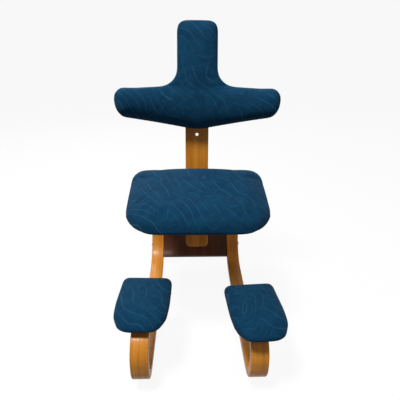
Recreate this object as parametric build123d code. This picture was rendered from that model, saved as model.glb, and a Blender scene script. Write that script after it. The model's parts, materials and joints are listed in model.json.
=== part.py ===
from build123d import *
import os
from math import cos, radians, sin

# Rocking kneeling chair with a T-shaped back.
# X runs to the right as seen from in front of the chair, Y to the rear, Z up.
# Sizes are in millimetres, angles in degrees.

# Bentwood runners
runner_width = 55
runner_thickness = 28
runner_edge_ease = 2.5
runner_end_round = 14
rocker_radius = 3000
rocker_sweep = 7
rocker_low_y = 48
front_y = -377
front_bend_radius = 71
front_upright = 14
rear_y = 406
rear_bend_radius = 150
riser_lean = 4
upper_bend_radius = 285

# Hook ends that carry the knee pads
hook_tilt = 1
hook_tail_y = -142
knee_slot_centre_y = -217
knee_slot_travel = 88
knee_slot_width = 8.6

# Floor glides
glide_stand = 3
glide_sink = 1
glide_length = 150
glide_width = 34

# Heights of a cushion's outlines, as angles on its rim
ring_angles = [-90, -60, -30, 0, 18, 36, 54, 68, 80]

# Seat
seat_width = 468
seat_overhang = 108
seat_depth = 318
seat_centre_y = -36
seat_base_z = 492
seat_tilt = 13
seat_rear_corner = 58
seat_front_corner = 105
seat_board_thickness = 12
seat_board_inset = 22
seat_thickness = 60
seat_waist = 22
seat_under_inset = 12
seat_crown_inset = 92
branch_reach = 68
seat_bolt_front = 42

# Back post
post_width = 85
post_thickness = 18
post_lean = 8
post_reference_y = 176
post_reference_z = 682
post_top_rise = 232
post_corner_z = 392
post_bend_radius = 250
post_tail_length = 146
post_tail_angle = 28
post_end_round = 16
post_edge_ease = 2
post_hole_radius = 6
post_hole_pitch = 35
post_hole_count = 5
post_bolt_hole = 3

# Cross members between the runners
rail_depth = 40
rail_height = 36
rail_bolt_offset = 10
rail_nut_length = 28
post_bolt_spacing = 46
panel_thickness = 16
panel_start_angle = 34
panel_rise = 95
panel_bolt_angle = 58
panel_bolt_rise = 52

# Backrest
back_bottom_rise = 20
back_height = 352
back_width = 540
back_arm_low = 54
back_arm_high = 138
back_neck_width = 138
back_neck_top_width = 132
back_neck_foot = 152
back_bottom_round = 170
back_arm_end_round = 34
back_neck_foot_round = 62
back_top_round = 34
back_wrap = 0.774
back_bond = 0.1
back_cushion_thickness = 42
back_shell_thickness = 10
back_cover_thickness = 5
back_shell_inset = 14
back_cushion_round = 17
back_travel = 80

# Sliding rail on the backrest
channel_length = 148
channel_width = 40
channel_flange = 14
channel_wall = 2
channel_depth = 9
channel_room = 7
channel_screw_radius = 2.5
channel_screw_spacing = 124
channel_screw_length = 9
channel_head_radius = 4.75
channel_head_height = 2

# Knee pads
knee_length = 250
knee_rear_width = 168
knee_front_width = 178
knee_rear_corner = 24
knee_front_corner = 68
knee_saddle_thickness = 8
knee_saddle_length = 80
knee_saddle_width = 48
knee_board_thickness = 12
knee_board_inset = 16
knee_thickness = 53
knee_waist = 19
knee_under_inset = 10
knee_crown_inset = 58
knee_pad_lead = 25
left_knee_shift = 22
right_knee_shift = -21
left_knee_turn = 0
right_knee_turn = 0

# Fasteners and grips
bolt_radius = 4
bolt_head_radius = 9
bolt_head_height = 4
hole_clearance = 0.15
running_clearance = 0.05
slide_clearance = 0.4
washer_radius = 13
washer_thickness = 2
barrel_nut_radius = 6
dowel_radius = 4
dowel_length = 50
end_room = 1
frame_bolt_length = 100
cap_radius = 8
cap_height = 4
key_radius = 3
key_depth = 2.5
nut_radius = 7.5
nut_height = 6
nut_washer_radius = 10
thread_spare = 2
tee_nut_radius = 5.5
tee_flange_radius = 10
tee_flange_height = 1.6
head_sink = 0.5
knob_radius = 24
knob_height = 28
knob_lobes = 6
knob_scallop_radius = 9
knob_scallop_offset = 28
knob_edge_ease = 2
knob_roof = 4
knob_hub_radius = 13
knob_hub_height = 4


# Side-view geometry: headings count in degrees from the rearward direction
def heading(angle):
    return Vector(cos(radians(angle)), sin(radians(angle)))


def meet(point, angle, other_point, other_angle):
    """Point where two lines of the side view cross."""
    along = heading(angle)
    across = heading(other_angle)
    gap = other_point - point
    return point + along * (gap.cross(across).Z / along.cross(across).Z)


def on_circle(point, angle, centre, radius):
    """Upper point where a line of the side view cuts a circle."""
    along = heading(angle)
    nearest = point + along * (centre - point).dot(along)
    reach = (radius**2 - (nearest - centre).length**2) ** 0.5
    return nearest + along * reach


def shifted_corner(before, corner, after, radius, distance):
    """A route's corner and its rounding, moved to a parallel route on the left."""
    leg_in = (corner - before).normalized()
    leg_out = (after - corner).normalized()
    left_in = Vector(-leg_in.Y, leg_in.X)
    left_out = Vector(-leg_out.Y, leg_out.X)
    moved = corner + (left_in + left_out) * (distance / (1 + left_in.dot(left_out)))
    turns_left = leg_in.cross(leg_out).Z > 0
    rounding = radius - distance if turns_left else radius + distance
    return moved, max(rounding, 0.25 * radius)


def parallel_line(corners, radii, distance):
    """Open rounded line at a fixed distance to the left of a route."""
    first_leg = (corners[1] - corners[0]).normalized()
    last_leg = (corners[-1] - corners[-2]).normalized()
    triples = zip(corners, corners[1:], corners[2:], radii)
    inner = [shifted_corner(a, b, c, radius, distance) for a, b, c, radius in triples]
    start = corners[0] + Vector(-first_leg.Y, first_leg.X) * distance
    end = corners[-1] + Vector(-last_leg.Y, last_leg.X) * distance
    points = [start] + [point for point, _ in inner] + [end]
    return FilletPolyline(*points, radius=[rounding for _, rounding in inner])


def strip(corners, radii, thickness, width):
    """Bent strip that follows a side-view route, centred on X = 0."""
    left = parallel_line(corners, radii, thickness / 2)
    right = parallel_line(corners, radii, -thickness / 2)
    ends = [Line(left @ 0, right @ 0), Line(left @ 1, right @ 1)]
    return extrude(Plane.YZ * make_face([left, right] + ends), width / 2, both=True)


def loop(corners, radii, inset=0):
    """Closed rounded outline, counter-clockwise, drawn in by an inset."""
    count = len(corners)
    moved = []
    for index in range(count):
        after = corners[(index + 1) % count]
        moved.append(shifted_corner(corners[index - 1], corners[index], after, radii[index], inset))
    points = [point for point, _ in moved]
    return make_face(FilletPolyline(*points, radius=[rounding for _, rounding in moved], close=True))


def padded(corners, radii, thickness, waist, under_inset, crown_inset):
    """Cushion with drawn-in sides and a crown: bands between outlines that follow two ellipses."""
    rings = []
    for angle in ring_angles:
        rise = thickness - waist if angle > 0 else waist
        inset = crown_inset if angle > 0 else under_inset
        rings.append((waist + rise * sin(radians(angle)), inset * (1 - cos(radians(angle)))))
    return loft([Pos(0, 0, height) * loop(corners, radii, inset) for height, inset in rings], ruled=True)


def rod(radius, low, high):
    """Round bar along Z between two heights."""
    return Pos(0, 0, (low + high) / 2) * Cylinder(radius, high - low)


def side_point(x, point):
    """A side-view point at a given X."""
    return Vector(x, point.X, point.Y)


# Route of the runner's centre line, from the hook's tail round to the front of the seat branch
half_sweep = rocker_sweep / 2
half_thick = runner_thickness / 2
rocker_line_radius = rocker_radius - half_thick
rocker_drop = rocker_line_radius * (1 / cos(radians(half_sweep)) - 1)
rocker_corner = Vector(rocker_low_y, glide_stand + half_thick - rocker_drop)
front_line_y = front_y + half_thick
front_low = meet(rocker_corner, 180 - half_sweep, Vector(front_line_y, 0), 90)
low_tangent = front_bend_radius * sin(radians(90 - half_sweep)) / (1 + cos(radians(90 - half_sweep)))
high_tangent = front_bend_radius * sin(radians(90 + hook_tilt)) / (1 + cos(radians(90 + hook_tilt)))
front_high = front_low + Vector(0, low_tangent + high_tangent + front_upright)
hook_tail = meet(front_high, -hook_tilt, Vector(hook_tail_y, 0), 90)
bend_centre_y = rear_y - rear_bend_radius - half_thick
bend_foot = meet(rocker_corner, half_sweep, Vector(bend_centre_y, 0), 90)
bend_centre = bend_foot + Vector(0, rear_bend_radius / cos(radians(half_sweep)))
riser_angle = 90 + riser_lean
riser_foot = bend_centre + heading(riser_angle - 90) * rear_bend_radius
rear_low = meet(rocker_corner, half_sweep, riser_foot, riser_angle)
seat_foot = Vector(seat_centre_y, seat_base_z)
branch_middle = seat_foot + heading(seat_tilt - 90) * half_thick
rear_high = meet(riser_foot, riser_angle, branch_middle, seat_tilt)
below_branch = branch_middle + heading(seat_tilt - 90) * upper_bend_radius
before_riser = riser_foot + heading(riser_angle + 90) * upper_bend_radius
upper_centre = meet(below_branch, seat_tilt, before_riser, riser_angle)
branch_tip = branch_middle + heading(seat_tilt + 180) * branch_reach
runner_route = [hook_tail, front_high, front_low, rocker_corner, rear_low, rear_high, branch_tip]
runner_radii = [front_bend_radius, front_bend_radius, rocker_line_radius, rear_bend_radius, upper_bend_radius]

# Places that the pieces share
post_reference = Vector(post_reference_y, post_reference_z)
runner_spacing = seat_width - seat_overhang
side_x = runner_spacing / 2
inner_gap = runner_spacing - runner_width
post_corner = meet(post_reference, 90 - post_lean, Vector(0, post_corner_z), 0)
post_tail = post_corner + heading(270 - post_tail_angle) * post_tail_length
post_top = post_reference + heading(90 - post_lean) * post_top_rise
rail_line = post_reference + heading(-post_lean) * (post_thickness / 2 + rail_depth / 2)
rail_centre = on_circle(rail_line, 90 - post_lean, upper_centre, upper_bend_radius)
rail_slope = (rail_centre - upper_centre).get_angle(Vector(0, 1)) * -1
back_origin = post_reference + heading(180 - post_lean) * (post_thickness / 2)
back_normal = side_point(0, heading(180 - post_lean))
back_plane = Plane(side_point(0, back_origin), (1, 0, 0), back_normal)
rail_plane = Plane(side_point(0, rail_centre), (1, 0, 0), back_plane.z_dir)
seat_normal = side_point(0, heading(90 + seat_tilt))
seat_plane = Plane(side_point(0, seat_foot), (1, 0, 0), seat_normal)
hook_middle = meet(front_high, -hook_tilt, Vector(knee_slot_centre_y, 0), 90)
hook_top = hook_middle + heading(90 - hook_tilt) * half_thick
back_bolt_rise = post_bolt_hole * post_hole_pitch


def knee_plane(x):
    """Frame on the hook's upper face: Y runs rearward along the hook, Z away from it."""
    return Plane(side_point(x, hook_top), (1, 0, 0), side_point(0, heading(90 - hook_tilt)))


# Bolts that come in from the side: screw axes on the runners, as side-view points
panel_bolt_low = bend_centre + heading(panel_bolt_angle - 90) * rear_bend_radius
panel_bolt_high = riser_foot + heading(riser_angle) * panel_bolt_rise
panel_bolt_points = [panel_bolt_low, panel_bolt_high]
panel_nut_angles = [panel_bolt_angle - 90, riser_angle - 90]
rail_bolt_point = rail_centre + heading(rail_slope) * rail_bolt_offset
rail_dowel_point = rail_centre + heading(rail_slope) * -rail_bolt_offset
barrel_nut_x = runner_width + inner_gap / 2 + 2 * barrel_nut_radius - frame_bolt_length
dowel_low = inner_gap / 2 - dowel_length / 2
dowel_high = inner_gap / 2 + dowel_length / 2
bolt_bore = bolt_radius + hole_clearance
dowel_bore = dowel_radius + hole_clearance
barrel_nut_bore = barrel_nut_radius + hole_clearance
seat_bend_start = (upper_centre - seat_foot).dot(heading(seat_tilt))
seat_bolt_rows = [-seat_bolt_front, seat_bend_start - cap_radius - end_room]


def pair(shape):
    """A left and a right copy, mirrored in the chair's middle plane."""
    return [shape.mirror(Plane.YZ), shape]


def across(point, shape):
    """Turn a piece made along Z so that it runs along X through a side-view point."""
    return Pos(*side_point(0, point)) * Rot(0, 90, 0) * shape


def cap_head(foot, direction):
    """Low round head on a face, with a hexagon key recess; it points up or down."""
    top = foot + direction * cap_height
    head = rod(cap_radius, min(foot, top), max(foot, top))
    return head - Pos(0, 0, top) * extrude(RegularPolygon(key_radius, 6), -direction * key_depth)


def frame_bolt(point):
    """Cap-headed bolt from the runner's outer face into a barrel nut."""
    outer = side_x + runner_width / 2
    shank = rod(bolt_radius, outer - frame_bolt_length, outer)
    return across(point, shank + cap_head(outer, 1))


def cross_dowel(point, angle, radius, length):
    """Round bar at a frame bolt's end; its axis lies in the side view at an angle."""
    place = Plane(side_point(barrel_nut_x, point), (1, 0, 0), side_point(0, heading(angle)))
    return place * Cylinder(radius, length)


def barrel_nut(point, angle, length):
    """Cross dowel with the hole that takes the end of a frame bolt."""
    return cross_dowel(point, angle, barrel_nut_radius, length) - across(point, rod(bolt_bore, 0, side_x))


def tip_edges(body, tips):
    """Edges through the thickness at a strip's two ends."""
    chosen = []
    for edge in body.edges():
        middle = edge.center()
        if min((middle - side_point(middle.X, tip)).length for tip in tips) < 1:
            chosen.append(edge)
    return chosen


def rim_edges(body):
    """Long edges of a strip, round its two side faces."""
    sides = body.faces().sort_by(Axis.X)
    return sides[0].outer_wire().edges() + sides[-1].outer_wire().edges()


# Flat-footed plastic glides let into the rockers
glide_outline = SlotOverall(glide_length, glide_width, rotation=90)
glide = Pos(side_x, rocker_low_y, 0) * extrude(glide_outline, glide_stand + glide_sink)
left_glide, right_glide = pair(glide)

# Bentwood runner with a slot for its knee pad, a seat for its glide and its bolt holes
runner = strip(runner_route, runner_radii, runner_thickness, runner_width)
runner = fillet(tip_edges(runner, [branch_tip, hook_tail]), runner_end_round)
runner = Pos(side_x, 0, 0) * chamfer(rim_edges(runner), runner_edge_ease)
slot_outline = SlotOverall(knee_slot_travel + knee_slot_width, knee_slot_width, rotation=90)
runner -= knee_plane(side_x) * extrude(slot_outline, 2 * runner_thickness, both=True)
runner -= glide
for bolt_point in panel_bolt_points + [rail_bolt_point]:
    runner -= across(bolt_point, rod(bolt_bore, 0, 2 * side_x))
runner -= across(rail_dowel_point, rod(dowel_bore, 0, dowel_high + end_room))
for y in seat_bolt_rows:
    runner -= seat_plane * Pos(side_x, y, 0) * rod(bolt_bore, -2 * runner_thickness, end_room)
left_runner, right_runner = pair(runner)

# Curved plywood panel that ties the two risers at the rear bend
panel_start = bend_centre + heading(panel_start_angle - 90) * rear_bend_radius
panel_corner = meet(panel_start, panel_start_angle, riser_foot, riser_angle)
panel_end = riser_foot + heading(riser_angle) * panel_rise
panel_route = [panel_start - heading(panel_start_angle), panel_corner, panel_end]
panel = strip(panel_route, [rear_bend_radius], panel_thickness, inner_gap)
panel_bolts = []
panel_nuts = []
for bolt_point, nut_angle in zip(panel_bolt_points, panel_nut_angles):
    panel_bolts += pair(frame_bolt(bolt_point))
    panel_nuts += pair(barrel_nut(bolt_point, nut_angle, panel_thickness - 2))
    panel -= across(bolt_point, rod(bolt_bore, -inner_gap, inner_gap))
    for bore in pair(cross_dowel(bolt_point, nut_angle, barrel_nut_bore, 2 * panel_thickness)):
        panel -= bore

# Rail under the rear of the seat, which carries the back post
rail = rail_plane * Box(inner_gap, rail_height, rail_depth)
rail_nut_angle = 90 - post_lean
rail_nuts = pair(barrel_nut(rail_bolt_point, rail_nut_angle, rail_nut_length))
rail_bolts = pair(frame_bolt(rail_bolt_point))
rail_dowels = pair(across(rail_dowel_point, rod(dowel_radius, dowel_low, dowel_high)))
rail -= across(rail_bolt_point, rod(bolt_bore, -inner_gap, inner_gap))
for bore in pair(across(rail_dowel_point, rod(dowel_bore, dowel_low - end_room, inner_gap))):
    rail -= bore
for bore in pair(cross_dowel(rail_bolt_point, rail_nut_angle, barrel_nut_bore, 2 * rail_height)):
    rail -= bore

# Bent post with a row of height holes
post = strip([post_tail, post_corner, post_top], [post_bend_radius], post_thickness, post_width)
post = fillet(tip_edges(post, [post_tail, post_top]), post_end_round)
post = chamfer(rim_edges(post), post_edge_ease)
for step in range(post_hole_count):
    place = back_plane * Pos(0, step * post_hole_pitch, 0)
    post -= place * rod(post_hole_radius, -2 * post_thickness, end_room)

# Two bolts hold the post to the rail, with washers and nuts behind it
post_face_origin = rail_plane.origin + rail_plane.z_dir * (rail_depth / 2 + post_thickness)
post_face = Plane(post_face_origin, (1, 0, 0), rail_plane.z_dir)
washer_low = -post_thickness - rail_depth - washer_thickness
nut_low = washer_low - nut_height
post_bolts = []
post_nuts = []
for x in (-post_bolt_spacing / 2, post_bolt_spacing / 2):
    place = post_face * Pos(x, 0, 0)
    shank = rod(bolt_radius, nut_low - thread_spare, 0)
    bore = rod(bolt_bore, nut_low - thread_spare, end_room)
    washer = rod(nut_washer_radius, washer_low, washer_low + washer_thickness)
    nut = Pos(0, 0, nut_low) * extrude(RegularPolygon(nut_radius, 6), nut_height)
    post_bolts.append(place * (shank + cap_head(0, 1)))
    post_nuts.append(place * (washer + nut - bore))
    rail -= place * bore
    post -= place * bore

# Seat board, its fasteners and the cushion that wraps round it
half_seat = seat_width / 2
seat_corners = [Vector(half_seat, -seat_depth / 2), Vector(half_seat, seat_depth / 2)]
seat_corners += [Vector(-half_seat, seat_depth / 2), Vector(-half_seat, -seat_depth / 2)]
seat_rounds = [seat_front_corner, seat_rear_corner, seat_rear_corner, seat_front_corner]
seat_form = (seat_thickness, seat_waist, seat_under_inset, seat_crown_inset)
seat_block = extrude(loop(seat_corners, seat_rounds, seat_board_inset), seat_board_thickness)
seat_cushion = seat_plane * (padded(seat_corners, seat_rounds, *seat_form) - seat_block)
seat_board = seat_plane * seat_block
flange_low = seat_board_thickness - tee_flange_height
seat_bolts = []
tee_nuts = []
for x in (-side_x, side_x):
    for y in seat_bolt_rows:
        place = seat_plane * Pos(x, y, 0)
        shank = rod(bolt_radius, -runner_thickness, seat_board_thickness - end_room)
        seat_bolts.append(place * (shank + cap_head(-runner_thickness, -1)))
        tee = rod(tee_nut_radius, end_room, flange_low + end_room)
        tee += rod(tee_flange_radius, flange_low, seat_board_thickness)
        tee_nuts.append(place * (tee - rod(bolt_bore, 0, seat_board_thickness + end_room)))
        well = rod(tee_nut_radius + hole_clearance, -end_room, seat_board_thickness)
        well += rod(tee_flange_radius + hole_clearance, flange_low, seat_board_thickness + end_room)
        seat_board -= place * well

# Backrest: a T of foam on a curved shell, with an upholstered cover behind
half_back = back_width / 2
back_right = [Vector(half_back, back_arm_low), Vector(half_back, back_arm_high)]
back_right += [Vector(back_neck_width / 2, back_neck_foot), Vector(back_neck_top_width / 2, back_height)]
back_left = [Vector(-point.X, point.Y) for point in reversed(back_right)]
back_corners = [Vector(0, 0)] + back_right + back_left
side_rounds = [back_arm_end_round, back_arm_end_round, back_neck_foot_round, back_top_round]
back_rounds = [back_bottom_round] + side_rounds + side_rounds[::-1]
back_front_radius = back_wrap * back_width
back_thickness = back_cover_thickness + back_shell_thickness + back_cushion_thickness
back_foot = channel_depth - end_room - back_cover_thickness
back_axis_z = back_foot + back_thickness + back_front_radius


def wrapped(inset, front, rear):
    """Part of the backrest's T between two depths behind its front surface."""
    flat = extrude(Pos(0, back_bottom_rise, 0) * loop(back_corners, back_rounds, inset), back_axis_z)
    turn = Pos(0, 0, back_axis_z) * Rot(90, 0, 0)
    outer = Cylinder(back_front_radius + rear, 3 * back_height)
    inner = Cylinder(back_front_radius + front, 3 * back_height)
    return flat & turn * (outer - inner)


def rounded_front(cushion, rounding):
    """Round the rim of the cushion's front, the face nearest to the sitter's back."""
    front = cushion.faces().sort_by(lambda face: face.center().Z)[-1]
    return fillet(front.outer_wire().edges(), rounding)


shell_front = back_cushion_thickness
shell_rear = shell_front + back_shell_thickness
cover_rear = shell_rear + back_cover_thickness
back_cushion = wrapped(0, 0, shell_front)
back_cushion = rounded_front(back_cushion, back_cushion_round)
back_shell = wrapped(back_shell_inset, shell_front + back_bond, shell_rear)
back_cover = wrapped(back_shell_inset / 2, shell_rear + back_bond, cover_rear)

# Steel channel on the backrest that slides over the head of the back bolt
channel_reach = channel_width / 2 + channel_flange
channel_outer = Pos(0, 0, channel_depth / 2) * Box(channel_width, channel_length, channel_depth)
channel_feet = Box(2 * channel_reach, channel_length, channel_wall)
channel_feet = Pos(0, 0, channel_depth - channel_wall / 2) * channel_feet
hollow_width = channel_width - 2 * channel_wall
hollow = Box(hollow_width, channel_length + 2 * end_room, channel_depth)
hollow = Pos(0, 0, channel_depth / 2 + channel_wall) * hollow
slot_width = 2 * (bolt_radius + slide_clearance)
channel_slot = SlotOverall(back_travel + slot_width + 2 * end_room, slot_width, rotation=90)
channel = channel_outer + channel_feet - hollow - extrude(channel_slot, 3 * channel_wall, both=True)
screw_places = [(x, y) for x in (-1, 1) for y in (-1, 1)]
channel_screws = []
foot_low = channel_depth - channel_wall
back_bolt_place = back_plane * Pos(0, back_bolt_rise, 0)
channel_seat = Box(2 * channel_reach + end_room, channel_length + 2 * channel_room, 2 * channel_depth)
channel_seat = Pos(0, back_bolt_rise, 0) * channel_seat
back_shell -= channel_seat
back_cover -= channel_seat
for x, y in screw_places:
    place = Pos(x * (channel_reach - channel_flange / 2), y * channel_screw_spacing / 2, 0)
    screw = rod(channel_screw_radius, foot_low, foot_low + channel_screw_length)
    head = rod(channel_head_radius, foot_low - channel_head_height, foot_low)
    bore = rod(channel_screw_radius + hole_clearance, 0, foot_low + channel_screw_length + end_room)
    channel -= place * bore
    back_shell -= Pos(0, back_bolt_rise, 0) * place * bore
    channel_screws.append(back_bolt_place * place * (screw + head))
channel = back_bolt_place * channel
back_cushion = back_plane * back_cushion
back_shell = back_plane * back_shell
back_cover = back_plane * back_cover

# Bolt, washer and star grip that clamp the backrest to the post
head_low = channel_wall + slide_clearance
washer_foot = -post_thickness - washer_thickness
thread_end = washer_foot - knob_height + knob_roof
back_bolt = rod(bolt_radius, thread_end, head_low)
back_bolt += rod(bolt_head_radius, head_low, head_low + bolt_head_height)
back_bolt += rod(post_hole_radius - hole_clearance, -post_thickness, -head_sink)
back_bolt = back_bolt_place * back_bolt
back_washer = rod(washer_radius, washer_foot, -post_thickness) - rod(bolt_bore, -2 * post_thickness, 0)
back_washer = back_bolt_place * back_washer


def star_knob():
    """Star grip with a hub; its clamping face is at Z = 0 and its crown points down."""
    body = rod(knob_radius, -knob_height, -knob_hub_height)
    for index in range(knob_lobes):
        turn = Rot(0, 0, index * 360 / knob_lobes)
        body -= turn * Pos(knob_scallop_offset, 0, 0) * rod(knob_scallop_radius, -knob_height - end_room, 0)
    body = chamfer(body.edges().group_by(Axis.Z)[0], knob_edge_ease)
    body += rod(knob_hub_radius, -knob_height + knob_edge_ease, 0)
    return body - rod(bolt_radius + running_clearance, end_room - knob_height, end_room)


back_knob = back_bolt_place * Pos(0, 0, washer_foot) * star_knob()


# Knee pads: saddle and washer slide on the hook, the pad turns on its bolt, the grip clamps it
def knee_set(x, shift, turn):
    """Saddle, washer, bolt, board, cushion and grip of one knee pad, in that order."""
    place = knee_plane(x) * Pos(0, shift, 0)
    turned = place * Rot(0, 0, turn)
    under = -runner_thickness - washer_thickness
    hole = rod(bolt_radius + running_clearance, under - end_room, knee_saddle_thickness + end_room)
    plate = SlotOverall(knee_saddle_length, knee_saddle_width, rotation=90)
    saddle = extrude(plate, knee_saddle_thickness) - hole
    washer = rod(washer_radius, under, -runner_thickness) - hole
    half = knee_length / 2
    corners = [Vector(knee_front_width / 2, -half), Vector(knee_rear_width / 2, half)]
    corners += [Vector(-knee_rear_width / 2, half), Vector(-knee_front_width / 2, -half)]
    rounds = [knee_front_corner, knee_rear_corner, knee_rear_corner, knee_front_corner]
    block = extrude(loop(corners, rounds, knee_board_inset), knee_board_thickness)
    lift = Pos(0, -knee_pad_lead, knee_saddle_thickness)
    form = (knee_thickness, knee_waist, knee_under_inset, knee_crown_inset)
    cushion = lift * (padded(corners, rounds, *form) - block)
    board_top = knee_saddle_thickness + knee_board_thickness
    head_top = board_top - head_sink
    bolt = rod(bolt_radius, under - knob_height + knob_roof, head_top)
    bolt += rod(bolt_head_radius, head_top - bolt_head_height, head_top)
    pocket = rod(bolt_head_radius + hole_clearance, head_top - bolt_head_height, board_top + end_room)
    board = lift * block - pocket - rod(bolt_bore, 0, board_top + end_room)
    knob = Pos(0, 0, under) * star_knob()
    return [place * saddle, place * washer, turned * bolt, turned * board, turned * cushion, place * knob]


knee_names = ["knee_saddle", "knee_washer", "knee_bolt", "knee_board", "knee_cushion", "knee_knob"]
left_knee = knee_set(-side_x, left_knee_shift, left_knee_turn)
right_knee = knee_set(side_x, right_knee_shift, right_knee_turn)

# Every piece by name; a group of like fasteners is one entry
pieces = {
    "left_runner": [left_runner],
    "right_runner": [right_runner],
    "left_floor_glide": [left_glide],
    "right_floor_glide": [right_glide],
    "cross_panel": [panel],
    "panel_bolts": panel_bolts,
    "panel_barrel_nuts": panel_nuts,
    "post_rail": [rail],
    "rail_bolts": rail_bolts,
    "rail_barrel_nuts": rail_nuts,
    "rail_dowels": rail_dowels,
    "back_post": [post],
    "post_bolts": post_bolts,
    "post_nuts": post_nuts,
    "seat_board": [seat_board],
    "seat_cushion": [seat_cushion],
    "seat_bolts": seat_bolts,
    "seat_tee_nuts": tee_nuts,
    "back_bolt": [back_bolt],
    "back_washer": [back_washer],
    "back_knob": [back_knob],
    "backrest_cushion": [back_cushion],
    "backrest_shell": [back_shell],
    "backrest_cover": [back_cover],
    "backrest_channel": [channel],
    "channel_screws": channel_screws,
}
for side, knee in (("left", left_knee), ("right", right_knee)):
    for name, shape in zip(knee_names, knee):
        pieces[f"{side}_{name}"] = [shape]

# The origin is under the middle of the whole chair, on the floor
solids = {name: [solid for shape in shapes for solid in shape.solids()] for name, shapes in pieces.items()}
box = Compound([solid for group in solids.values() for solid in group]).bounding_box()
centre_shift = Vector(0, -(box.min.Y + box.max.Y) / 2, 0)
os.makedirs("parts", exist_ok=True)
for name, group in solids.items():
    node = Compound([Pos(*centre_shift) * solid for solid in group])
    export_step(node, f"parts/{name}.step")
print("size", box.size, "shift", centre_shift)
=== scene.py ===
# %% [markdown]
# This lesson dresses a rocking kneeling chair. The solids, their joints and their sizes come from the packed
# model, which is loaded first and never moved. Blender adds what the solids can't show: soft upholstery,
# wood whose grain follows each bend, and the finish of every surface. Everything is in metres: X runs to the
# right as seen from in front of the chair, Y to the rear and Z up, with the floor at 0.

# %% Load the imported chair
import json
import math
import bmesh
import bpy
from mathutils import Matrix, Vector


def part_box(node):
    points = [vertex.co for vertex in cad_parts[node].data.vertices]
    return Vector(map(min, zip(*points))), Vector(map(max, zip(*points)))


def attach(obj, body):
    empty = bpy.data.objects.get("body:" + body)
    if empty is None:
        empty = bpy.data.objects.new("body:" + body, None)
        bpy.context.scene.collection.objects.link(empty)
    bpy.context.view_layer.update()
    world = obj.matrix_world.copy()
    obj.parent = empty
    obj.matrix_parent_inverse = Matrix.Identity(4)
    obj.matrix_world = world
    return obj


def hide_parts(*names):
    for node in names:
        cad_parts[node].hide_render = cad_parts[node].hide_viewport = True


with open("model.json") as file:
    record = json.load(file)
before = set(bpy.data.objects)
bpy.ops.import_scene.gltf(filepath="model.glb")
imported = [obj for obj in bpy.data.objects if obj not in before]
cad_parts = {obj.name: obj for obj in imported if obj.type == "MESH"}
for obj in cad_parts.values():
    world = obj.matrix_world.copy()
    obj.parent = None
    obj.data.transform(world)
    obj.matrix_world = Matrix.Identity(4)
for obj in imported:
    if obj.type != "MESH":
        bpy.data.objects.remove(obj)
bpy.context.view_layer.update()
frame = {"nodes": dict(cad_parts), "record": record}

scene = bpy.context.scene

# %% [markdown]
# The camera stands a little over a metre in front of the chair's middle, just below the top of the backrest,
# and looks down. A Track To constraint could aim it, but the picture is also tipped by a fraction of a
# degree, so three angles are written out: down, to the right, and the tip. The focal length is in pixels of
# a picture 400 wide. Blender asks for millimetres on a 36 mm sensor, so it is converted.

# %% Camera
picture_width = 400
focal_pixels = 361.9
sensor_width = 36
camera_place = (-0.0324, -1.1607, 1.0142)
pitch, yaw, roll = (math.radians(angle) for angle in (24.33, 2.01, 0.63))

camera_data = bpy.data.cameras.new("photo_camera")
camera_data.sensor_width = sensor_width
camera_data.lens = sensor_width * focal_pixels / picture_width
camera = bpy.data.objects.new("photo_camera", camera_data)
scene.collection.objects.link(camera)
forward = Vector((math.sin(yaw) * math.cos(pitch), math.cos(yaw) * math.cos(pitch), -math.sin(pitch)))
level = Vector((math.cos(yaw), -math.sin(yaw), 0))
upright = level.cross(forward)
camera_right = level * math.cos(roll) + upright * math.sin(roll)
camera_up = upright * math.cos(roll) - level * math.sin(roll)
camera_turn = Matrix((camera_right, camera_up, -forward)).transposed().to_4x4()
camera.matrix_world = Matrix.Translation(camera_place) @ camera_turn
scene.camera = camera
scene.view_settings.view_transform = "Standard"
print("lens", round(camera_data.lens, 2), "mm")

# %% [markdown]
# Materials and Geometry Nodes are both trees of nodes. Wired one by one, each node takes several lines, and
# the formula gets lost. So a small class wraps the output of a node, and ordinary arithmetic on it adds Math
# nodes to its tree.


# %% Outputs that take arithmetic
class Value:
    """An output of a node; arithmetic on it adds Math nodes to its tree."""

    def __init__(self, tree, socket):
        self.tree = tree
        self.socket = socket

    def math(self, operation, *others):
        sockets = dict(enumerate((self, *others)))
        return self.tree.node("ShaderNodeMath", {"operation": operation}, sockets)

    def __add__(self, other):
        return self.math("ADD", other)

    def __sub__(self, other):
        return self.math("SUBTRACT", other)

    def __rsub__(self, other):
        return self * -1 + other

    def __mul__(self, other):
        return self.math("MULTIPLY", other)

    __radd__ = __add__
    __rmul__ = __mul__

    def step(self, low, high):
        """A smooth step from zero to one as this value goes from low to high."""
        sockets = {"Value": self, "From Min": low, "From Max": high}
        return self.tree.node("ShaderNodeMapRange", {"interpolation_type": "SMOOTHSTEP"}, sockets)


print("outputs take +, - and *")

# %% [markdown]
# A tree adds a node in one call: its kind, its settings, and the numbers or links of its sockets. A finish
# is the tree of a material. It starts from the shader that a new material has, sets what is the same all
# over straight on the shader's sockets, and sends it what changes from place to place.


# %% Trees and finishes
class Tree:
    """A node tree to which each call adds one node."""

    def __init__(self, nodes):
        self.nodes = nodes

    def plug(self, value, socket):
        if isinstance(value, Value):
            self.nodes.links.new(value.socket, socket)
        else:
            socket.default_value = value

    def node(self, kind, settings=None, sockets=None, output=0):
        made = self.nodes.nodes.new(kind)
        for name, value in (settings or {}).items():
            setattr(made, name, value)
        for key, value in (sockets or {}).items():
            self.plug(value, made.inputs[key])
        return Value(self, made.outputs[output])

    def part(self, vector, axis):
        """One of the three numbers of a vector."""
        return self.node("ShaderNodeSeparateXYZ", {}, {0: vector}, axis)

    def vector(self, x, y, z):
        return self.node("ShaderNodeCombineXYZ", {}, {0: x, 1: y, 2: z})

    def mix(self, share, first, second):
        """A colour between two colours."""
        return self.node("ShaderNodeMix", {"data_type": "RGBA"}, {0: share, 6: first, 7: second}, 2)


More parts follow.
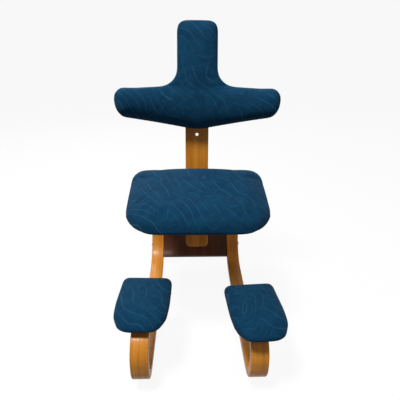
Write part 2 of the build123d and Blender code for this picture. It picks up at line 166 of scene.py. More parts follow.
class Finish(Tree):
    """A material; constant values go straight to its shader's sockets."""

    def __init__(self, name, constants):
        self.material = bpy.data.materials.new(name)
        self.material.use_nodes = True
        super().__init__(self.material.node_tree)
        self.shader = self.nodes.nodes["Principled BSDF"]
        for socket, value in constants.items():
            self.plug(value, self.shader.inputs[socket])
        self.place = self.node("ShaderNodeTexCoord", {}, {}, "Object")
        self.x, self.y, self.z = (self.part(self.place, axis) for axis in "XYZ")

    def noise(self, place, scale, detail):
        return self.node("ShaderNodeTexNoise", {}, {"Vector": place, "Scale": scale, "Detail": detail})

    def show(self, colour, roughness, height=None, depth=0.0, strength=0.0):
        """Send the varying values to the shader."""
        self.plug(colour, self.shader.inputs["Base Color"])
        self.plug(roughness, self.shader.inputs["Roughness"])
        if height is not None:
            bump = {"Height": height, "Distance": depth, "Strength": strength}
            self.plug(self.node("ShaderNodeBump", {}, bump), self.shader.inputs["Normal"])
        return self.material


def paint(red, green, blue):
    """A colour written as 0 to 255, as picture programs show it, in Blender's linear light."""
    shares = [part / 255 for part in (red, green, blue)]
    linear = [s / 12.92 if s <= 0.04045 else ((s + 0.055) / 1.055) ** 2.4 for s in shares]
    return (*linear, 1.0)


def grey(level):
    """A grey of a given linear light."""
    return (level, level, level, 1.0)


print("trees and finishes ready")

# %% [markdown]
# The chair stands on a pale studio floor. A floor that is lit until it is white would burn out the chair. So
# floor and sky look white to the eye and to mirrors only, and the light that falls on the chair meets a
# darker floor and a dim sky. That keeps the shade under the cushions.


# %% Floor and sky
def seen_directly(tree):
    """One for rays from the eye, a mirror or glass, and zero for the light that falls on things."""
    path = tree.node("ShaderNodeLightPath", {}, {}, "Is Camera Ray")
    outputs = path.socket.node.outputs
    glossy = Value(tree, outputs["Is Glossy Ray"])
    through = Value(tree, outputs["Is Transmission Ray"])
    return path.math("MAXIMUM", glossy).math("MAXIMUM", through)


floor_reach = 9
floor_dark, floor_pale, floor_glow = 0.22, 0.9, 0.92
sky_level, sky_white = 0.15, 0.937

floor_corners = [(x * floor_reach, y * floor_reach, 0) for x, y in ((-1, -1), (1, -1), (1, 1), (-1, 1))]
floor_mesh = bpy.data.meshes.new("studio_floor")
floor_mesh.from_pydata(floor_corners, [], [(0, 1, 2, 3)])
floor = bpy.data.objects.new("studio_floor", floor_mesh)
scene.collection.objects.link(floor)
floor_finish = Finish("pale_floor", {"Roughness": 0.9, "Specular IOR Level": 0.1})
looked_at = seen_directly(floor_finish)
floor_colour = floor_finish.mix(looked_at, grey(floor_dark), grey(floor_pale))
floor_finish.plug(floor_colour, floor_finish.shader.inputs["Base Color"])
white_glow = floor_finish.node("ShaderNodeEmission", {}, {"Strength": 1.0})
painted = Value(floor_finish, floor_finish.shader.outputs[0])
floor_look = {0: looked_at * floor_glow, 1: painted, 2: white_glow}
mixed = floor_finish.node("ShaderNodeMixShader", {}, floor_look)
floor_finish.plug(mixed, floor_finish.nodes.nodes["Material Output"].inputs["Surface"])
floor_mesh.materials.append(floor_finish.material)

scene.world = bpy.data.worlds.new("studio_sky")
scene.world.use_nodes = True
sky = Tree(scene.world.node_tree)
sky_shader = sky.nodes.nodes["Background"]
sky.plug(grey(1.0), sky_shader.inputs["Color"])
sky.plug(seen_directly(sky) * (sky_white - sky_level) + sky_level, sky_shader.inputs["Strength"])
print("floor", 2 * floor_reach, "m wide under", scene.world.name)

# %% [markdown]
# The light comes from three large lamps. The key lamp, high in front and to the left, gives the cushions
# bright tops and dark lower rims. A weak lamp fills the right side, and one behind keeps the rear readable.
# Area lamps were chosen over spots, because their size alone says how soft a shadow's edge is.

# %% Lamps
lamp_aim = Vector((0, 0, 0.45))
# Name, place, size and power in watts
lamps = [
    ("key_lamp", (-0.95, -1.15, 3.65), 0.7, 142),
    ("fill_lamp", (2.7, -0.6, 1.7), 1.6, 9),
    ("rear_lamp", (-1.0, 2.5, 2.3), 1.4, 38),
]
for name, place, size, power in lamps:
    lamp_data = bpy.data.lights.new(name, "AREA")
    lamp_data.size = size
    lamp_data.energy = power
    lamp = bpy.data.objects.new(name, lamp_data)
    scene.collection.objects.link(lamp)
    aim = lamp_aim - Vector(place)
    lamp.matrix_world = Matrix.Translation(place) @ aim.to_track_quat("-Z", "Y").to_matrix().to_4x4()
print(len(lamps), "lamps")

# %% [markdown]
# The frame is beech laminated from thin veneers, bent round a former and lacquered to a honey colour. Its
# grain follows the bend, so the colour can't be read from the plain coordinates alone. Each strip carries a
# UV map named strip: the way along it, and the depth through its veneers. Noise stretched along that way
# makes bands, streaks and flecks, and never repeats as a picture of wood would. Veneer edges show on the
# sides only.

# %% Wood finish
# Repeats per metre along the grain and across it
grain_bands, grain_streaks, grain_flecks = (1.6, 42), (9, 420), (240, 1500)
veneer_thickness, veneer_offset = 0.0033, 0.35
honey_share, streak_mark, fleck_mark, veneer_mark, glue_mark = 0.55, 0.3, 0.45, 0.45, 0.6
streak_roughness, grain_depth, grain_strength = 0.14, 0.0004, 0.35


def beech(name, pale, honey, deep, gloss, coat, bent=True):
    """Beech whose grain runs along a bent strip, or along X in a straight block."""
    finish = Finish(name, {"Coat Weight": coat, "Coat Roughness": 0.2, "Specular IOR Level": 0.2})
    if bent:
        strip = finish.node("ShaderNodeUVMap", {"uv_map": "strip"})
        along, depth = (finish.part(strip, axis) for axis in "XY")
        sideways = finish.x
    else:
        along, sideways, depth = finish.x, finish.y, finish.z

    def grain(repeats, detail):
        lengthwise, crosswise = repeats
        stretched = finish.vector(along * lengthwise, sideways * crosswise, depth * crosswise)
        return finish.noise(stretched, scale=1.0, detail=detail)

    band = grain(grain_bands, detail=3.0)
    streak = grain(grain_streaks, detail=2.0)
    fleck = grain(grain_flecks, detail=0.0).step(0.66, 0.74)
    veneer = depth * (1 / veneer_thickness) + veneer_offset
    whole = veneer.math("FLOOR")
    glue = (veneer - whole - 0.5).math("ABSOLUTE").step(0.43, 0.49)
    tone = finish.node("ShaderNodeTexWhiteNoise", {"noise_dimensions": "1D"}, {"W": whole})
    facing = finish.node("ShaderNodeNewGeometry", {}, {}, "True Normal")
    edge_face = finish.part(facing, "X").math("ABSOLUTE").step(0.6, 0.9)
    colour = finish.mix(band.step(0.3, 0.7), deep, pale)
    colour = finish.mix(honey_share, colour, honey)
    colour = finish.mix(streak.step(0.35, 0.7) * streak_mark, colour, deep)
    colour = finish.mix(fleck * fleck_mark, colour, deep)
    colour = finish.mix(edge_face * tone * veneer_mark, colour, deep)
    colour = finish.mix(edge_face * glue * glue_mark, colour, deep)
    roughness = streak.step(0.2, 0.8) * streak_roughness + gloss
    relief = streak * 0.5 - fleck * 0.5 - edge_face * glue
    return finish.show(colour, roughness, relief, grain_depth, grain_strength)


honey_tones = (paint(232, 162, 62), paint(210, 134, 34), paint(146, 80, 14))
# The dark tones are painted shade: the cross panel and the post rail under the seat get them for the shade
# that falls there.
painted_shade_tones = (paint(96, 48, 16), paint(72, 33, 9), paint(42, 18, 5))
lacquered_beech = beech("lacquered_beech", *honey_tones, gloss=0.34, coat=0.09)
panel_beech_painted_shade = beech("panel_beech_painted_shade", *painted_shade_tones, gloss=0.55, coat=0.03)
rail_beech_painted_shade = beech("rail_beech_painted_shade", *painted_shade_tones, gloss=0.55, coat=0.03, bent=False)
print("wood finishes", lacquered_beech.name, panel_beech_painted_shade.name, rail_beech_painted_shade.name)

# %% [markdown]
# A bent strip is a main piece that follows a rule: a flat bar swept along a route of straight runs and arcs.
# A curve with a bevel could sweep it too, but would not keep the way along it, which the grain needs. So
# Geometry Nodes do it. First come the inputs, which are the sizes that differ from strip to strip.

# %% Inputs of the bent strip tree
strip_inputs = {"Route": "Geometry", "Width": "Float", "Thickness": "Float", "Edge Round": "Float",
                "End Round": "Float", "Spacing": "Float", "Finish": "Material"}
strip_group = bpy.data.node_groups.new("bent_strip", "GeometryNodeTree")
strip_sockets = {}
for label, kind in strip_inputs.items():
    socket = strip_group.interface.new_socket(label, in_out="INPUT", socket_type=f"NodeSocket{kind}")
    strip_sockets[label] = socket.identifier
strip_group.interface.new_socket("Strip", in_out="OUTPUT", socket_type="NodeSocketGeometry")
strip_tree = Tree(strip_group)
input_node = strip_tree.node("NodeGroupInput").socket.node
given = {label: Value(strip_tree, input_node.outputs[label]) for label in strip_inputs}
print("bent strip inputs:", ", ".join(strip_inputs))

# %% [markdown]
# The route is a few corner points with a bend radius each. Fillet Curve rounds the corners, and Curve to
# Mesh sweeps the bar. On the way, three numbers are kept on every point: how far along the route it lies,
# how far it is to the end, and how deep it lies in the bar.


# %% Sweep of the bent strip tree
def keep(geometry, name, number):
    """Write a number on every point, under a name."""
    settings = {"data_type": "FLOAT", "domain": "POINT"}
    sockets = {"Geometry": geometry, "Name": name, "Value": number}
    return strip_tree.node("GeometryNodeStoreNamedAttribute", settings, sockets)


def kept(name):
    """Read a number that was kept on the points."""
    return strip_tree.node("GeometryNodeInputNamedAttribute", {"data_type": "FLOAT"}, {"Name": name})


def rounded(curve, steps, radius):
    """A curve with its corners rounded."""
    sockets = {"Curve": curve, "Count": steps, "Radius": radius}
    return strip_tree.node("GeometryNodeFilletCurve", {"mode": "POLY"}, sockets)


bend_steps, edge_steps = 32, 4
least_share = 0.001
route = strip_tree.node("GeometryNodeMeshToCurve", {}, {"Mesh": given["Route"]})
route = rounded(route, bend_steps, kept("bend_radius"))
even_route = {"Curve": route, "Length": given["Spacing"]}
route = strip_tree.node("GeometryNodeResampleCurve", {"mode": "LENGTH"}, even_route)
way = strip_tree.node("GeometryNodeSplineParameter", {}, {}, "Length")
way_share = strip_tree.node("GeometryNodeSplineParameter", {}, {}, "Factor")
left_over = way * (1 - way_share) * way_share.math("MAXIMUM", least_share).math("POWER", -1)
route = keep(keep(route, "along", way), "ahead", left_over)
bar_sizes = {"Width": given["Width"], "Height": given["Thickness"]}
bar = strip_tree.node("GeometryNodeCurvePrimitiveQuadrilateral", {}, bar_sizes)
bar = rounded(bar, edge_steps, given["Edge Round"])
bar = keep(bar, "depth", strip_tree.part(strip_tree.node("GeometryNodeInputPosition"), "Y"))
sweep_sockets = {"Curve": route, "Profile Curve": bar, "Fill Caps": True}
swept = strip_tree.node("GeometryNodeCurveToMesh", {}, sweep_sockets)
print("the sweep takes", len(strip_group.nodes), "nodes")

# %% [markdown]
# The saw leaves the ends of a strip with rounded corners, so close to an end each point moves towards the
# middle, on an arc. Then the way along and the depth become the UV map, and the strip gets its finish.

# %% Ends, map and finish of the bent strip tree
along, ahead, depth = (kept(name) for name in ("along", "ahead", "depth"))
end_round = given["End Round"]
past_round = end_round - along.math("MINIMUM", ahead).math("MINIMUM", end_round)
drawn_in = end_round - (end_round * end_round - past_round * past_round).math("MAXIMUM", 0).math("SQRT")
sideways = strip_tree.part(strip_tree.node("GeometryNodeInputPosition"), "X")
narrowing = strip_tree.vector(sideways * drawn_in * given["Width"].math("POWER", -1) * -2, 0, 0)
swept = strip_tree.node("GeometryNodeSetPosition", {}, {"Geometry": swept, "Offset": narrowing})
map_kind = {"data_type": "FLOAT2", "domain": "CORNER"}
map_sockets = {"Geometry": swept, "Name": "strip", "Value": strip_tree.vector(along, depth, 0)}
swept = strip_tree.node("GeometryNodeStoreNamedAttribute", map_kind, map_sockets)
swept = strip_tree.node("GeometryNodeRealizeInstances", {}, {"Geometry": swept})
coated = {"Geometry": swept, "Material": given["Finish"]}
swept = strip_tree.node("GeometryNodeSetMaterial", {}, coated)
output_node = strip_group.nodes.new("NodeGroupOutput")
strip_tree.plug(swept, output_node.inputs[0])
print("bent strip tree has", len(strip_group.nodes), "nodes")

# %% [markdown]
# Slots and holes are cut with Boolean modifiers. A cutter is a prism on the outline of a slot, and a slot
# that is as long as it is wide is a round hole. Whatever modifiers make, the evaluated result becomes a
# plain mesh, because the export keeps none of them.


# %% Plain meshes and cutters
def add_object(name, mesh):
    made = bpy.data.objects.new(name, mesh)
    scene.collection.objects.link(made)
    return made


def plain_mesh(worked):
    """The evaluated mesh of an object, in place of its modifiers."""
    evaluated = worked.evaluated_get(bpy.context.evaluated_depsgraph_get())
    mesh = bpy.data.meshes.new_from_object(evaluated)
    worked.modifiers.clear()
    worked.data = mesh
    return worked


def slot_outline(length, width, steps=16):
    """Outline of a slot with round ends; a length equal to the width gives a circle."""
    points = []
    for end in (1, -1):
        for step in range(steps + 1):
            angle = math.pi * step / steps + (0 if end == 1 else math.pi)
            middle = end * (length - width) / 2
            points.append((math.cos(angle) * width / 2, math.sin(angle) * width / 2 + middle))
    return points


def prism(name, outline, low, high, place):
    """A cutter with a flat outline, raised between two heights and set in its place."""
    cutter = bmesh.new()
    foot = cutter.faces.new([cutter.verts.new((x, y, low)) for x, y in outline])
    raised = bmesh.ops.extrude_face_region(cutter, geom=[foot])["geom"]
    raised_points = [part for part in raised if isinstance(part, bmesh.types.BMVert)]
    bmesh.ops.translate(cutter, vec=(0, 0, high - low), verts=raised_points)
    bmesh.ops.recalc_face_normals(cutter, faces=cutter.faces)
    mesh = bpy.data.meshes.new(name)
    cutter.to_mesh(mesh)
    cutter.free()
    mesh.transform(place)
    return add_object(name, mesh)


print("cutter outline has", len(slot_outline(2, 1)), "points")

# %% [markdown]
# Making a strip takes three steps: write its corners and bends as a small mesh of points, let the tree sweep
# it, and cut its slots and holes. Sharp edges are marked by their angle, so the bends shade smoothly.


# %% Strips from routes
sharp_angle = math.radians(32)


def bent_strip(name, corners, radii, sizes, finish, side=0.0, cutters=()):
    """A strip along a route of the side view, moved to one side and cut."""
    mesh = bpy.data.meshes.new(name)
    links = [(index, index + 1) for index in range(len(corners) - 1)]
    mesh.from_pydata(corners, links, [])
    bends = mesh.attributes.new("bend_radius", "FLOAT", "POINT")
    bends.data.foreach_set("value", [0.0, *radii, 0.0])
    strip = add_object(name, mesh)
    sweep = strip.modifiers.new("sweep", "NODES")
    sweep.node_group = strip_group
    for label, value in {**sizes, "Finish": finish}.items():
        sweep[strip_sockets[label]] = value
    plain_mesh(strip)
    strip.data.transform(Matrix.Translation((side, 0, 0)))
    for cutter in cutters:
        cut = strip.modifiers.new(cutter.name, "BOOLEAN")
        cut.operation = "DIFFERENCE"
        cut.solver = "EXACT"
        cut.object = cutter
    if cutters:
        plain_mesh(strip)
    for cutter in cutters:
        bpy.data.objects.remove(cutter)
    strip.data.set_sharp_from_angle(angle=sharp_angle)
    print(name, len(strip.data.polygons), "faces")
    return strip


def fit_to_frame(strip, node):
    """The strip stands for a solid of the frame and moves with it."""
    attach(strip, "frame")
    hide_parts(node)


print("strips have edges sharper than", round(math.degrees(sharp_angle)), "degrees marked")

# %% [markdown]
# Every strip of this chair bends in the side view only. So its corners are found there, where two lines
# cross. A direction is an angle that counts up from the rearward one: 90 is straight up. The middle of a
# glide, where measuring starts, is rounded to a micrometre, so that the cushions come out the same.


# %% Side view
def lean(degrees):
    """A direction of the side view."""
    return Vector((0, math.cos(math.radians(degrees)), math.sin(math.radians(degrees))))


def meet(point, angle, other_point, other_angle):
    """Point where two lines of the side view cross."""
    along, across = lean(angle), lean(other_angle)
    gap = other_point - point
    return point + along * (gap.cross(across).x / along.cross(across).x)


def bend_start(radius, turn):
    """Distance from a corner to where its bend of so many degrees starts."""
    return radius * math.tan(math.radians(turn / 2))


def set_on(origin, along, normal):
    """The matrix that puts a flat drawing on a plane of the chair, X to the right."""
    columns = (Vector((1, 0, 0)), along, normal)
    return Matrix.Translation(origin) @ Matrix(columns).transposed().to_4x4()


glide_low, glide_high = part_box("right_floor_glide")
runner_x, rocker_y, _ = (round(middle, 6) for middle in (glide_low + glide_high) / 2)
print("rocker's lowest point", round(rocker_y, 4), "m behind the origin")

# %% [markdown]
# Each runner is one strip: a hook that carries a knee rest, the front bend, a rocker, the rear bend, a
# riser, the upper bend and a branch under the seat. Its route is the middle of the strip. It follows from
# where each run lies, how it leans and how tight each bend is. Places along Y count from the lowest point of
# the rocker, which is the middle of the glide that it stands on.

# %% Route of a runner
runner_width, runner_thickness = 0.055, 0.028
half_thick = runner_thickness / 2
glide_stand, rocker_radius, half_sweep = 0.003, 3.0, 3.5
front_y, rear_y = rocker_y - 0.425, rocker_y + 0.358
front_bend, rear_bend, upper_bend = 0.071, 0.150, 0.285
front_upright = 0.014
hook_angle, hook_tail_y = -1, rocker_y - 0.190
riser_angle, seat_angle = 94, 13
branch_reach = 0.068
seat_foot = Vector((0, rocker_y - 0.084, 0.492))
seat_up = lean(seat_angle + 90)

rocker_line_radius = rocker_radius - half_thick
rocker_drop = rocker_line_radius * (1 / math.cos(math.radians(half_sweep)) - 1)
rocker_corner = Vector((0, rocker_y, glide_stand + half_thick - rocker_drop))
front_low = meet(rocker_corner, 180 - half_sweep, Vector((0, front_y + half_thick, 0)), 90)
front_rise = bend_start(front_bend, 90 - half_sweep) + bend_start(front_bend, 90 - hook_angle)
front_high = front_low + Vector((0, 0, front_rise + front_upright))
hook_tail = meet(front_high, hook_angle, Vector((0, hook_tail_y, 0)), 90)
bend_foot = meet(rocker_corner, half_sweep, Vector((0, rear_y - half_thick - rear_bend, 0)), 90)
bend_centre = bend_foot + Vector((0, 0, rear_bend / math.cos(math.radians(half_sweep))))
riser_foot = bend_centre + lean(riser_angle - 90) * rear_bend
rear_low = meet(rocker_corner, half_sweep, riser_foot, riser_angle)
branch_middle = seat_foot - seat_up * half_thick
rear_high = meet(riser_foot, riser_angle, branch_middle, seat_angle)
branch_tip = branch_middle - lean(seat_angle) * branch_reach
runner_route = [hook_tail, front_high, front_low, rocker_corner, rear_low, rear_high, branch_tip]
runner_bends = [front_bend, front_bend, rocker_line_radius, rear_bend, upper_bend]
print("runner route", [(round(corner.y, 3), round(corner.z, 3)) for corner in runner_route])

# %% [markdown]
# The bolt of a knee rest slides in a slot along the hook. The strip is a hair thinner than the solid that it
# stands for, so that the saddle above it and the washer below it slide clear of the lacquer.

# %% Runners
slide_room = 0.0002
runner_sizes = {"Width": runner_width, "Thickness": runner_thickness - 2 * slide_room, "Edge Round": 0.003,
                "End Round": 0.014, "Spacing": 0.004}
knee_slot_y = rocker_y - 0.265
knee_slot_width, knee_slot_travel = 0.0086, 0.088
slot_low, slot_high = -0.06, 0.03
sides = (("left", -1), ("right", 1))

hook_way, hook_up = lean(hook_angle), lean(hook_angle + 90)
hook_top = meet(front_high, hook_angle, Vector((0, knee_slot_y, 0)), 90) + hook_up * half_thick
knee_slot = slot_outline(knee_slot_travel + knee_slot_width, knee_slot_width)
for side, sign in sides:
    slot_place = set_on(hook_top + Vector((sign * runner_x, 0, 0)), hook_way, hook_up)
    slot = prism(f"{side}_slot", knee_slot, slot_low, slot_high, slot_place)
    runner = bent_strip(f"{side}_bentwood_runner", runner_route, runner_bends, runner_sizes, lacquered_beech,
                        sign * runner_x, [slot])
    fit_to_frame(runner, f"{side}_runner")

# %% [markdown]
# The back post is a strip with one bend. Its tail shows below the seat, and a row of holes sets the height
# of the backrest. The plane of its front face is kept, because the backrest is laid out on it.

# %% Back post
post_width, post_thickness, post_bend = 0.085, 0.018, 0.25
post_sizes = {"Width": post_width, "Thickness": post_thickness, "Edge Round": 0.0025, "End Round": 0.016,
              "Spacing": 0.004}
post_angle, post_top_rise, post_corner_z = 82, 0.232, 0.392
post_tail_angle, post_tail_length = 242, 0.146
hole_count, hole_pitch, hole_width = 5, 0.035, 0.012
hole_low, hole_high = -0.05, 0.03

post_middle = Vector((0, rocker_y + 0.128, 0.682))
post_up, post_front = lean(post_angle), lean(post_angle + 90)
post_corner = meet(post_middle, post_angle, Vector((0, 0, post_corner_z)), 0)
post_tail = post_corner + lean(post_tail_angle) * post_tail_length
post_route = [post_tail, post_corner, post_middle + post_up * post_top_rise]
back_place = set_on(post_middle + post_front * (post_thickness / 2), post_up, post_front)
hole = slot_outline(hole_width, hole_width)
post_holes = []
for step in range(hole_count):
    hole_place = back_place @ Matrix.Translation((0, step * hole_pitch, 0))
    post_holes.append(prism(f"post_hole_{step}", hole, hole_low, hole_high, hole_place))
post = bent_strip("bent_back_post", post_route, [post_bend], post_sizes, lacquered_beech, cutters=post_holes)
fit_to_frame(post, "back_post")

# %% [markdown]
# A curved panel ties the two runners together. Its dark colour is painted shade, for the shade that falls
# under the seat.
# It fills the gap between them, and it follows the rear bend from a little way round it to some way up the
# risers, so its route takes the runner's own bend.

# %% Cross panel
panel_width, panel_thickness = 2 * runner_x - runner_width, 0.016
panel_sizes = {"Width": panel_width, "Thickness": panel_thickness, "Edge Round": 0.0012, "End Round": 0.0,
               "Spacing": 0.006}
panel_angle, panel_lead, panel_rise = 34, 0.001, 0.095

panel_start = bend_centre + lean(panel_angle - 90) * rear_bend
panel_corner = meet(panel_start, panel_angle, riser_foot, riser_angle)
panel_end = riser_foot + lean(riser_angle) * panel_rise
panel_route = [panel_start - lean(panel_angle) * panel_lead, panel_corner, panel_end]
panel = bent_strip("curved_cross_panel", panel_route, [rear_bend], panel_sizes, panel_beech_painted_shade)
fit_to_frame(panel, "cross_panel")

# %% [markdown]
# The cloth is a flat woven blue, with wavy lines one shade lighter. A picture could hold such lines, but it
# would need seams where it is unwrapped. Here a sine of the place makes them, and noise bends them. A second
# noise lets them fade out, and there a finer set of lines crosses them. The weave is too fine to see from
# afar, so it only breaks up the colour, the gloss and the bump.

# %% Upholstery finish
cloth = Finish("blue_upholstery", {"Sheen Weight": 0.02, "Sheen Roughness": 0.5, "Specular IOR Level": 0.08})
# Lines per metre along X, Y and Z
line_rates, hatch_rates = (27, 16, 20), (30, -20, -26)
line_drift, line_wander, hatch_wander = 5.0, 0.9, 4.5
line_mark, hatch_mark, thread_mark = 0.2, 0.13, 0.35
thread_rate = 4200
cloth_roughness, thread_roughness = 0.78, 0.12
weave_depth, weave_strength = 0.0006, 0.3


def slanted(rates):
    """A count of lines that grows along a slanting direction."""
    return cloth.x * rates[0] + cloth.y * rates[1] + cloth.z * rates[2]


drift = cloth.noise(cloth.place, scale=6.5, detail=1.0)
wander = cloth.noise(cloth.place, scale=17.0, detail=0.0)
fade = cloth.noise(cloth.place, scale=11.0, detail=1.0).step(0.38, 0.6)
broad = slanted(line_rates) + drift * line_drift + wander * line_wander
fine = slanted(hatch_rates) + wander * hatch_wander
line = (broad * math.tau).math("SINE").step(0.93, 0.995) * fade
hatch = (fine * math.tau).math("SINE").step(0.92, 0.99) * (1 - fade)
thread = (cloth.x * thread_rate).math("SINE") * ((cloth.y + cloth.z) * thread_rate).math("SINE")
mottle = cloth.noise(cloth.place, scale=38.0, detail=3.0).step(0.3, 0.7)
ground = cloth.mix(mottle, paint(5, 50, 77), paint(9, 59, 88))
ground = cloth.mix(thread.step(-1, 1) * thread_mark, ground, paint(3, 38, 62))
drawn = cloth.mix(line * line_mark + hatch * hatch_mark, ground, paint(66, 114, 136))
roughness = thread.step(-1, 1) * thread_roughness + cloth_roughness
blue_upholstery = cloth.show(drawn, roughness, thread * 0.5 + line, weave_depth, weave_strength)
print("upholstery", blue_upholstery.name)

# %% [markdown]
# The rest of the chair is raw plywood under the cushions, moulded black plastic for grips, saddles and
# glides, and zinc-plated steel for the fasteners. These solids have the right shape already, so they keep it
# and only get a finish. Their patterns read plain object coordinates, because nothing on them follows a
# bend.


# %% Plywood, plastic and steel
def plywood():
    finish = Finish("raw_plywood", {"Specular IOR Level": 0.25})
    stretched = finish.vector(finish.x * 3, finish.y * 55, finish.z * 55)
    band = finish.noise(stretched, scale=1.0, detail=3.0)
    speck = finish.noise(finish.place, scale=900.0, detail=0.0).step(0.6, 0.75)
    colour = finish.mix(band.step(0.3, 0.7), paint(168, 128, 82), paint(206, 172, 122))
    colour = finish.mix(speck * 0.3, colour, paint(120, 84, 48))
    return finish.show(colour, band * 0.15 + 0.62, band - speck, depth=0.0004, strength=0.4)


def moulded_plastic():
    finish = Finish("black_plastic", {"Specular IOR Level": 0.5})
    grain = finish.noise(finish.place, scale=1600.0, detail=1.0)
    scuff = finish.noise(finish.place, scale=45.0, detail=4.0).step(0.55, 0.75)
    colour = finish.mix(scuff * 0.5, paint(24, 25, 27), paint(46, 47, 49))
    return finish.show(colour, scuff * 0.15 + 0.42, grain, depth=0.0003, strength=0.3)


def zinc():
    finish = Finish("zinc_steel", {"Metallic": 1.0})
    spangle = finish.node("ShaderNodeTexVoronoi", {}, {"Vector": finish.place, "Scale": 420.0}, "Color")
    shade = finish.part(spangle, "X")
    colour = finish.mix(shade, paint(158, 162, 166), paint(196, 199, 202))
    return finish.show(colour, shade * 0.14 + 0.26)


finish_of_slot = {
    "lacquered_beech": lacquered_beech,
    "beech_panel": panel_beech_painted_shade,
    "raw_plywood": plywood(),
    "blue_upholstery": blue_upholstery,
    "black_plastic": moulded_plastic(),
    "zinc_steel": zinc(),
}
for row in frame["record"]["subparts"]:
    solid = frame["nodes"][row["node"]]
    solid.data.materials.clear()
    solid.data.materials.append(finish_of_slot[row["material_slot"]])
# The post rail gets the dark beech of painted shade too, with its grain along X.
frame["nodes"]["post_rail"].data.materials[0] = rail_beech_painted_shade
print("finished", len(frame["nodes"]), "solids")

# %% [markdown]
# A cushion is foam in a tight cover. It could be a box with rounded edges, but that looks hard. So each one
# starts from its solid: a copy is merged, because the triangles of a solid are loose, and remeshed in small
# even squares, which cloth needs. Growing moves the cover out or in, and relaxing evens out its dents.


# %% Copies of the solids
weld_distance = 0.00002
relax_share = 0.5


def merged_copy(name, node_names):
    """One mesh from copies of solids, with the loose triangles joined."""
    joined = bmesh.new()
    for node_name in node_names:
        joined.from_mesh(frame["nodes"][node_name].data)
    bmesh.ops.remove_doubles(joined, verts=joined.verts, dist=weld_distance)
    mesh = bpy.data.meshes.new(name)
    joined.to_mesh(mesh)
    joined.free()
    return add_object(name, mesh)


def remesh(worked, voxel):
    even = worked.modifiers.new("even", "REMESH")
    even.mode = "VOXEL"
    even.voxel_size = voxel
    return plain_mesh(worked)


def grow(worked, distance):
    """Move every point along its normal."""
    normals = [vertex.normal.copy() for vertex in worked.data.vertices]
    for vertex, normal in zip(worked.data.vertices, normals):
        vertex.co += normal * distance
    worked.data.update()


def relax(worked, turns):
    smooth = worked.modifiers.new("relax", "SMOOTH")
    smooth.factor = relax_share
    smooth.iterations = turns
    return plain_mesh(worked)


print("cushions start from", sum("cushion" in name for name in frame["nodes"]), "solids")

# %% [markdown]
# A short cloth simulation with air pressure and no gravity then swells the cover. The points that lie on a
# board or a shell are held, and the swelling is capped, so that the cushion stays the size of the real one.

# %% Swelling by simulation
swell_frames = 20
cover_settings = {
    "quality": 5,
    "mass": 0.25,
    "tension_stiffness": 12,
    "compression_stiffness": 12,
    "bending_stiffness": 0.6,
    "use_pressure": True,
    "uniform_pressure_force": 4,
}


def swell(worked, held, cap):
    """Blow the cover up; held points stay, and no point moves further than the cap."""
    start = [vertex.co.copy() for vertex in worked.data.vertices]
    fixed = worked.vertex_groups.new(name="held")
    fixed.add([vertex.index for vertex in worked.data.vertices if held(vertex.co)], 1.0, "REPLACE")
    cover = worked.modifiers.new("cover", "CLOTH")
    for setting, value in cover_settings.items():
        setattr(cover.settings, setting, value)
    cover.settings.vertex_group_mass = fixed.name
    cover.settings.effector_weights.gravity = 0
    cover.point_cache.frame_start = 1
    cover.point_cache.frame_end = swell_frames
    for step in range(1, swell_frames + 1):
        scene.frame_set(step)
    evaluated = worked.evaluated_get(bpy.context.evaluated_depsgraph_get())
    ends = [vertex.co.copy() for vertex in evaluated.data.vertices]
    worked.modifiers.clear()
    worked.vertex_groups.clear()
    scene.frame_set(1)
    furthest = 0.0
    for vertex, before, after in zip(worked.data.vertices, start, ends):
        move = after - before
        furthest = max(furthest, move.length)
        if move.length > cap:
            move = move.normalized() * cap
        vertex.co = before + move
    worked.data.update()
    print(worked.name, "swelled up to", round(furthest * 1000, 1), "mm before the cap")


print("the cover swells for", swell_frames, "frames")

# %% [markdown]
# One function takes a cushion from its solids to the finished piece. The cover is drawn in by what the
# swelling gives back. Several solids under one cover are closed up first: they grow until they meet, are
# remeshed as one, and shrink again. A form, different for every cushion, moves each point to its place.


# %% Cushions
draw_in = 0.003
settle_turns = 3


def cushion(name, node_names, body, voxel, held, cap, form, rolls, close=0.0, regrow=0.0):
    """An upholstered piece that stands for its solids and moves with their body."""
    worked = remesh(merged_copy(name, node_names), voxel)
    if close:
        grow(worked, close)
        remesh(worked, voxel)
        grow(worked, -close)
        remesh(worked, voxel)
    for vertex in worked.data.vertices:
        vertex.co = form(vertex.co)
    relax(worked, rolls)
    grow(worked, regrow - draw_in)
    swell(worked, held, cap)
    relax(worked, settle_turns)
    finer = worked.modifiers.new("finer", "SUBSURF")
    finer.levels = finer.render_levels = 1
    plain_mesh(worked)
    worked.data.materials.clear()
    worked.data.materials.append(blue_upholstery)
    worked.data.polygons.foreach_set("use_smooth", [True] * len(worked.data.polygons))
    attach(worked, body)
    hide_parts(*node_names)
    print(name, len(worked.data.polygons), "faces")
    return worked


def smooth_share(value, low, high):
    """Zero at low, one at high, and a soft curve between them."""
    share = min(max((value - low) / (high - low), 0.0), 1.0)
    return share * share * (3 - 2 * share)


print("covers are drawn in by", draw_in * 1000, "mm")

# %% [markdown]
# The seat's foam is fuller in the middle, and at the front it stays high and falls in a steep nose. Its
# edges bow out, and its rear corners are pushed out to be squarer. It could be sculpted by hand, once. A
# formula of the place on the board can be tuned, and it keeps the foot of the cushion on that board.

# %% Seat
seat_width, seat_depth, seat_waist = 0.468, 0.318, 0.022
held_height = 0.0145
crown_gain, front_crown, crown_zone = 0.21, 0.3, (0.1, 0.8)
nose_gain, nose_zone = 0.16, (0.04, 0.32)
rear_bow, rear_zone = 0.006, (0.7, 1.0)
front_bow, front_zone = 0.005, (0.0, 0.3)
side_bow = 0.02
corner_push, corner_x, corner_y = 0.0065, (0.15, 0.225), (0.08, 0.155)
seat_place = set_on(seat_foot, lean(seat_angle), seat_up)
seat_inverse = seat_place.inverted()


